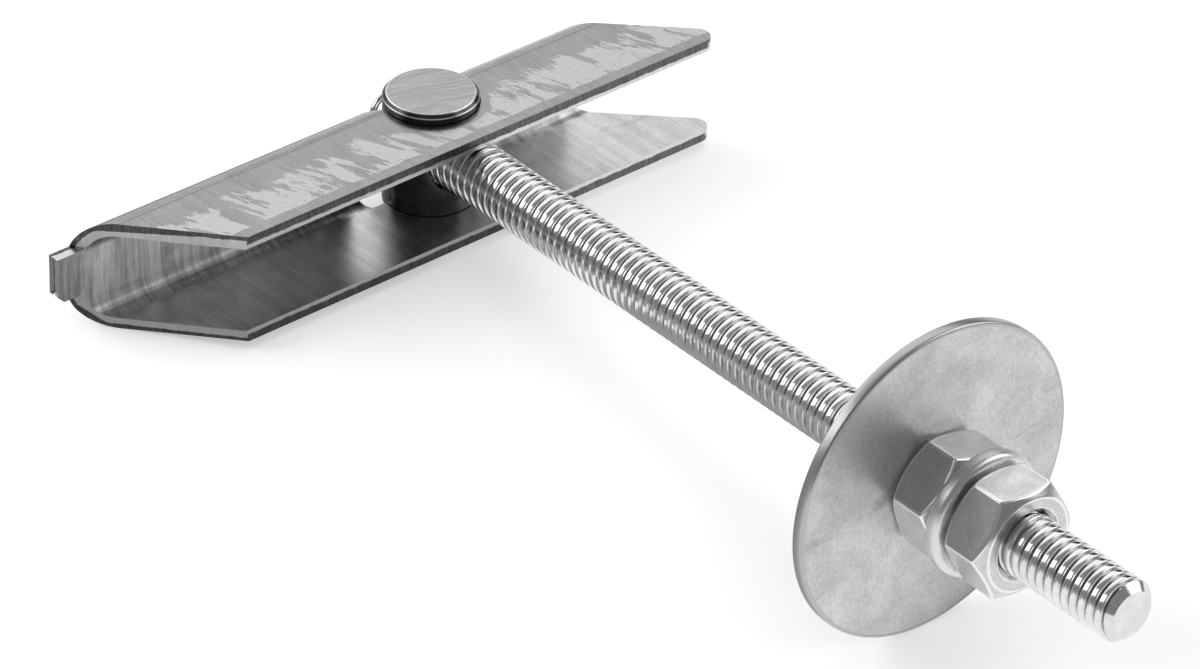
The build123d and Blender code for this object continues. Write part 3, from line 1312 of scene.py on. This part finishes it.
@dataclass(kw_only=True)
class ToggleChannel(Piece):
    """The folded toggle, with its sheared edges softened and its unfolded coordinates stored."""

    node: str = "toggle_channel"
    body: Body = Body.TOGGLE
    slot: Slot = Slot.SHEET
    smooth: float = 35.0
    flatten: bool = True
    turned: float = 1.8
    thickness: float = 1.2
    bend_inside: float = 1.9
    arris: float = 0.09
    arris_steps: int = 2
    sharp_fold: float = 28.0
    flat_fold: float = 0.6
    weld: float = 0.002
    straight_burnish: float = 0.66
    slanted_burnish: float = 0.34
    straight_normal: float = 0.95
    sheared_share: float = 0.3
    bend_cuts: int = 2
    bend_step: float = 3.0
    bend_tolerance: float = 0.12
    groove_margin: float = 0.38
    groove_depth: float = 0.3

    def __post_init__(self) -> None:
        """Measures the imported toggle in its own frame."""
        self.own = Matrix.Rotation(radians(self.turned), 4, "Z")
        unturn = np.array(self.own.inverted())
        points = self.pivot.points(self.node) @ unturn[:3, :3].T
        low = points.min(axis=0)
        high = points.max(axis=0)
        self.bend_outside = self.bend_inside + self.thickness
        self.back = low[0]
        self.bend_middle = low[0] + self.bend_outside
        self.half_web = (high[2] - low[2]) / 2 - self.bend_outside
        self.middle = (high[2] + low[2]) / 2
        self.arc = (self.bend_inside + self.thickness / 2) * pi / 2
        self.flat_reach = high[0] - self.bend_middle
        self.free_reach = self.half_web + self.arc + self.flat_reach

    def shape(self) -> Mesh:
        """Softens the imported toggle's edges, refines its bends and grooves its tab.

        Returns:
            The toggle, in the pivot frame.
        """
        mesh = frame["nodes"][self.node].data.copy()
        mesh.transform(self.own.inverted() @ self.pivot.from_row)
        work = bmesh.new()
        work.from_mesh(mesh)
        bmesh.ops.remove_doubles(work, verts=work.verts, dist=self.weld)
        arris = work.faces.layers.float.new("arris")
        self._refine_bends(work)
        fold = radians(self.flat_fold)
        bmesh.ops.dissolve_limit(
            work, angle_limit=fold, verts=work.verts, edges=work.edges, use_dissolve_boundaries=False
        )
        end = min(work.faces, key=lambda face: (round(face.calc_center_median().y, 2), -face.calc_area()))
        bmesh.ops.inset_region(work, faces=[end], thickness=self.groove_margin, depth=-self.groove_depth)
        fold = radians(self.sharp_fold)
        bevelled = bmesh.ops.bevel(
            work,
            geom=[edge for edge in work.edges if edge.is_manifold and edge.calc_face_angle() > fold],
            offset=self.arris,
            offset_type="OFFSET",
            segments=self.arris_steps,
            profile=0.5,
            affect="EDGES",
            clamp_overlap=True,
        )
        work.normal_update()
        for face in bevelled["faces"]:
            face[arris] = 1.0
        self._store(work)
        clean = bpy.data.meshes.new(self.node)
        work.to_mesh(clean)
        work.free()
        clean.transform(self.own)
        return clean

    def _from_bend(self, spot: Vector) -> Triple:
        """Where a point of the folded sheet lies from the axis of its nearest bend.

        Args:
            spot: A point in the toggle's own frame.

        Returns:
            The side, 1 for the upper bend and -1 for the lower, how far outwards the point lies from the
            bend's axis, and how far towards the free edge.
        """
        up = spot.z - self.middle
        return 1.0 if up >= 0 else -1.0, abs(up) - self.half_web, spot.x - self.bend_middle

    def _unfold(self, spot: Vector) -> Triple:
        """Where a point of the folded sheet lies on its flat blank.

        Args:
            spot: A point in the toggle's own frame.

        Returns:
            The distance across from the middle of the back, the place along the toggle, and the depth below
            the outer skin.
        """
        side, above, past = self._from_bend(spot)
        if above <= 0:
            return side * (self.half_web + above), spot.y, spot.x - self.back
        if past >= 0:
            return side * (self.half_web + self.arc + past), spot.y, self.bend_outside - above
        across = self.half_web + self.arc * atan2(above, -past) / (pi / 2)
        return side * across, spot.y, self.bend_outside - hypot(above, past)

    def _round_bend(self, spot: Vector) -> Triple | None:
        """Where a point lies round its bend.

        Args:
            spot: A point in the toggle's own frame.

        Returns:
            Its angle round the bend, its distance from the bend's axis and its side, or None off the bends.
        """
        side, above, past = self._from_bend(spot)
        if above < -MERGE or past > MERGE:
            return None
        return atan2(max(above, 0.0), max(-past, 0.0)), hypot(above, past), side

    def _refine_bends(self, work: bmesh.types.BMesh) -> None:
        """Splits the bends' facets and puts the new points on the true arcs.

        Args:
            work: The toggle, in its own frame.
        """
        split = []
        for edge in work.edges:
            ends = [self._round_bend(vertex.co) for vertex in edge.verts]
            if None not in ends and abs(ends[0][0] - ends[1][0]) > radians(self.bend_step):
                split.append(edge)
        bmesh.ops.subdivide_edges(work, edges=split, cuts=self.bend_cuts, use_grid_fill=True)
        for vertex in work.verts:
            bent = self._round_bend(vertex.co)
            if bent is None:
                continue
            angle, distance, side = bent
            for radius in (self.bend_inside, self.bend_outside):
                if abs(distance - radius) < self.bend_tolerance:
                    vertex.co.x = self.bend_middle - radius * cos(angle)
                    vertex.co.z = self.middle + side * (self.half_web + radius * sin(angle))

    def _store(self, work: bmesh.types.BMesh) -> None:
        """Stores the unfolded place of each vertex, and which faces are sheared.

        Args:
            work: The toggle, in its own frame.
        """
        unfolded = work.verts.layers.float_vector.new("unfolded")
        cut = work.faces.layers.float.new("cut")
        burnish = work.faces.layers.float.new("burnish")
        for vertex in work.verts:
            vertex[unfolded] = self._unfold(vertex.co)
        for face in work.faces:
            depths = [vertex[unfolded].z for vertex in face.verts]
            sheared = max(depths) - min(depths) > self.thickness * self.sheared_share
            face[cut] = 1.0 if sheared else 0.0
            straight = face.normal.x > self.straight_normal
            face[burnish] = self.straight_burnish if straight else self.slanted_burnish


@dataclass(frozen=True)
class Card:
    """A round card that only reflections see, placed by its direction in the pivot frame."""

    azimuth: float
    elevation: float
    inner: float
    outer: float
    radiance: float


@dataclass(frozen=True)
class Softbox:
    """An area lamp that shapes the shadow and is not seen in reflections."""

    name: str
    way: Triple
    distance: float
    width: float
    height: float
    power: float


CARDS = (
    Card(azimuth=66, elevation=36, inner=20, outer=30, radiance=2.1),
    Card(azimuth=-141, elevation=26, inner=10, outer=12, radiance=2.4),
    Card(azimuth=-158, elevation=27, inner=10, outer=12, radiance=2.4),
    Card(azimuth=-124, elevation=36, inner=10, outer=12, radiance=2.4),
)

SOFTBOXES = (
    Softbox("left_softbox", way=(-0.62, -0.62, 0.48), distance=0.75, width=0.55, height=0.45, power=3.2),
    Softbox("right_softbox", way=(0.62, 0.60, 0.45), distance=0.80, width=0.55, height=0.45, power=2.0),
    Softbox("top_softbox", way=(-0.15, 0.25, 1.0), distance=0.80, width=0.6, height=0.6, power=1.4),
)


@dataclass
class Studio:
    """The floor, the soft lamps, the pale surroundings and the camera."""

    pivot: PivotFrame
    lens: float = 176.71
    sensor: float = 36.0
    clip: Span = (0.01, 20.0)
    place: Triple = (364.03, -285.95, 283.47)
    heading: float = 139.858
    dip: float = 33.347
    roll: float = 1.599
    floor_half: float = 3.0
    floor_grey: float = 0.80
    floor_glow: float = 0.36
    mirrored_bright: float = 0.95
    mirrored_shade: float = 0.34
    shade_front: Span = (0.012, 0.022)
    shade_side: Span = (0.020, 0.032)
    shade_slope: float = -0.5
    strip_place: float = -0.0235
    strip_edge: Span = (0.003, 0.006)
    strip_end: Span = (-0.024, -0.018)
    ambient: float = 0.55
    plain_radiance: float = 0.28
    softbox_radiance: float = 1.45
    horizon_radiance: float = 0.95
    gap_foot: Span = (7.0, 9.0)
    gap_head: Span = (25.5, 27.5)
    gap_radiance: Span = (0.04, 0.80)
    gap_azimuth: float = 226.0
    gap_turn: Span = (-0.02, 0.04)
    back_azimuth: float = 165.0
    back_turn: Span = (0.48, 0.58)

    def build(self) -> None:
        """Sets up the whole studio."""
        bpy.context.scene.view_settings.view_transform = "Standard"
        self._camera()
        self._floor()
        self._world()
        self._lamps()
        log.info("studio: camera %.1f mm, %d softboxes, %d cards", self.lens, len(SOFTBOXES), len(CARDS))

    def _camera(self) -> None:
        """Puts the camera where the photograph was taken from."""
        data = bpy.data.cameras.new("camera")
        data.lens = self.lens
        data.sensor_fit = "HORIZONTAL"
        data.sensor_width = self.sensor
        data.clip_start, data.clip_end = self.clip
        ahead = direction(self.heading, -self.dip)
        level = ahead.cross(Vector((0, 0, 1))).normalized()
        right = level * cos(radians(self.roll)) + level.cross(ahead) * sin(radians(self.roll))
        up = right.cross(ahead)
        aim = self.pivot.turn @ Matrix((right, up, -ahead)).transposed()
        spot = self.pivot.to_row @ Vector(self.place)
        camera = placed("camera", data)
        camera.matrix_world = Matrix.LocRotScale(spot, aim.to_quaternion(), None)
        bpy.context.scene.camera = camera

    def _floor(self) -> None:
        """Lays a plain pale floor that keeps the shadow, and that reflections see dimmed near the bolt as
        painted shade, with a bright strip left through it.
        """
        half = self.floor_half
        corners = [(-half, -half, 0), (half, -half, 0), (half, half, 0), (-half, half, 0)]
        mesh = bpy.data.meshes.new("floor")
        mesh.from_pydata(corners, [], [(0, 1, 2, 3)])
        floor = placed("floor", mesh)
        material = bpy.data.materials.new("pale_floor")
        sheet = fresh_sheet(material)
        x, y, _ = sheet.parts(sheet.add("ShaderNodeTexCoord", output="Object"))
        # Reflections see painted shade on the floor round the bolt, except along one bright strip.
        ahead = sheet.ramp(y, *self.shade_front, 1.0, 0.0)
        beside = sheet.ramp(y * self.shade_slope + x, *self.shade_side, 1.0, 0.0)
        off_strip = sheet.ramp(abs(x - self.strip_place), *self.strip_edge)
        clear = sheet.math("MAXIMUM", off_strip, sheet.ramp(y, *self.strip_end, 1.0, 0.0))
        mirrored = sheet.mix(ahead * beside * clear, self.mirrored_bright, self.mirrored_shade)
        seen = sheet.add("ShaderNodeLightPath", output="Is Camera Ray")
        board = sheet.add("ShaderNodeBsdfDiffuse", {"Color": (*[self.floor_grey] * 3, 1.0)})
        glow = sheet.add("ShaderNodeEmission", {"Strength": seen * self.floor_glow})
        lit = sheet.add("ShaderNodeAddShader", {0: board, 1: glow})
        mirror = sheet.add("ShaderNodeEmission", {"Strength": mirrored})
        surface = sheet.add("ShaderNodeMixShader", {0: seen.also("Is Glossy Ray"), 1: lit, 2: mirror})
        sheet.node("ShaderNodeOutputMaterial", {"Surface": surface})
        mesh.materials.append(material)

    def _world(self) -> None:
        """Surrounds the bolt with white to the camera, and with pale and dark cards to its reflections."""
        world = bpy.data.worlds.new("surroundings")
        sheet = fresh_sheet(world)
        bpy.context.scene.world = world
        turn = self.pivot.turn
        way = sheet.add("ShaderNodeTexCoord", output="Object")
        up = sheet.along(way, turn.col[2])
        back = sheet.along(way, turn @ direction(self.back_azimuth))
        aside = sheet.along(way, turn @ direction(self.gap_azimuth))
        foot, head = ([sin(radians(angle)) for angle in span] for span in (self.gap_foot, self.gap_head))
        gap = sheet.ramp(aside, *self.gap_turn, *self.gap_radiance)
        backdrop = sheet.mix(sheet.ramp(up, *foot), self.horizon_radiance, gap)
        backdrop = sheet.mix(sheet.ramp(up, *head), backdrop, self.softbox_radiance)
        gloss = sheet.mix(sheet.ramp(back, *self.back_turn), self.plain_radiance, backdrop)
        for card in CARDS:
            facing = sheet.along(way, turn @ direction(card.azimuth, card.elevation))
            share = sheet.ramp(facing, cos(radians(card.outer)), cos(radians(card.inner)))
            gloss = sheet.mix(share, gloss, card.radiance)
        seen = sheet.add("ShaderNodeLightPath", output="Is Camera Ray")
        shared = sheet.mix(seen.also("Is Glossy Ray"), self.ambient, gloss)
        sky = sheet.add("ShaderNodeBackground", {"Strength": sheet.mix(seen, shared, 1.0)})
        sheet.node("ShaderNodeOutputWorld", {"Surface": sky})

    @staticmethod
    def _lamps() -> None:
        """Hangs the softboxes that shape the shadow."""
        for box in SOFTBOXES:
            data = bpy.data.lights.new(box.name, "AREA")
            data.shape = "RECTANGLE"
            data.size = box.width
            data.size_y = box.height
            data.energy = box.power
            way = Vector(box.way).normalized()
            lamp = placed(box.name, data)
            lamp.location = way * box.distance
            lamp.rotation_euler = way.to_track_quat("Z", "Y").to_euler()
            lamp.visible_glossy = False


def main() -> None:
    """Builds every piece and the studio."""
    logging.basicConfig(level=logging.INFO, format="%(message)s")
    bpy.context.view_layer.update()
    pivot = PivotFrame(frame["joints"])
    patterns = SharedPatterns()

    thread = ThreadPlate(
        name="bright_zinc_thread", crest_grey=0.84, shaded_root_grey=0.46, roughness=0.09, root_roughness=0.18
    )
    ThreadedRod(pivot=pivot).build(thread.material(pivot, patterns))

    barrel = TurnedSteel(
        name="turned_barrel",
        face_grey=0.46,
        shaded_side_grey=0.08,
        painted_edge_grey=0.90,
        face_roughness=0.30,
        side_roughness=0.16,
        brushing=18.0,
    )
    BarrelNut(pivot=pivot).build(barrel.material(pivot, patterns))

    toggle = ToggleChannel(pivot=pivot)
    galvanised = GalvanisedSheet(
        name="galvanised_toggle",
        grey=0.37,
        patch_grey=0.70,
        bend_grey=0.50,
        lit_inside_grey=0.56,
        burnish_grey=0.13,
        tear_grey=0.72,
        free_reach=toggle.free_reach,
        flat_reach=toggle.flat_reach,
        thickness=toggle.thickness,
    )
    toggle.build(galvanised.material(pivot, patterns))

    dull = ZincPlate(
        name="dull_zinc_washer",
        grey=0.69,
        cloud_depth=0.06,
        cloud_scale=0.22,
        roughness=0.46,
        # The large washer's rim is painted darker than its face, as painted shade.
        painted_edge_grey=0.48,
        edge_roughness=0.3,
        speck_share=0.25,
        pit_share=0.06,
        scuff_share=0.36,
        grain_depth=0.22,
        relief=0.014,
    )
    washer = FlatWasher(
        pivot=pivot, node="large_washer", body=Body.WASHER, slot=Slot.WASHER, rim_radius=0.25
    )
    washer.build(dull.material(pivot, patterns))

    tumbled = ZincPlate(
        name="tumbled_zinc_ring",
        grey=0.62,
        cloud_depth=0.12,
        cloud_scale=0.6,
        roughness=0.22,
        # The ring's rims are painted lighter than its faces, as a painted highlight.
        painted_edge_grey=0.80,
        grain_depth=0.30,
        relief=0.05,
    )
    ring = FlatWasher(pivot=pivot, node="small_washer", body=Body.RING, slot=Slot.RING, rim_radius=0.5)
    ring.build(tumbled.material(pivot, patterns))

    bright = ZincPlate(
        name="bright_zinc_nut",
        grey=0.68,
        cloud_depth=0.035,
        cloud_scale=0.4,
        # The nuts' rounded edges are painted near white, as a painted highlight.
        roughness=0.22,
        painted_edge_grey=0.98,
        speck_size=0.18,
        speck_share=0.55,
        grain_depth=0.18,
        relief=0.012,
    )
    nut_material = bright.material(pivot, patterns)
    HexNut(pivot=pivot, node="inner_nut", body=Body.LOCK_NUT, turn=49.0).build(nut_material)
    HexNut(pivot=pivot, node="outer_nut", body=Body.END_NUT, turn=58.7).build(nut_material)

    Studio(pivot).build()


if __name__ == "__main__":
    main()
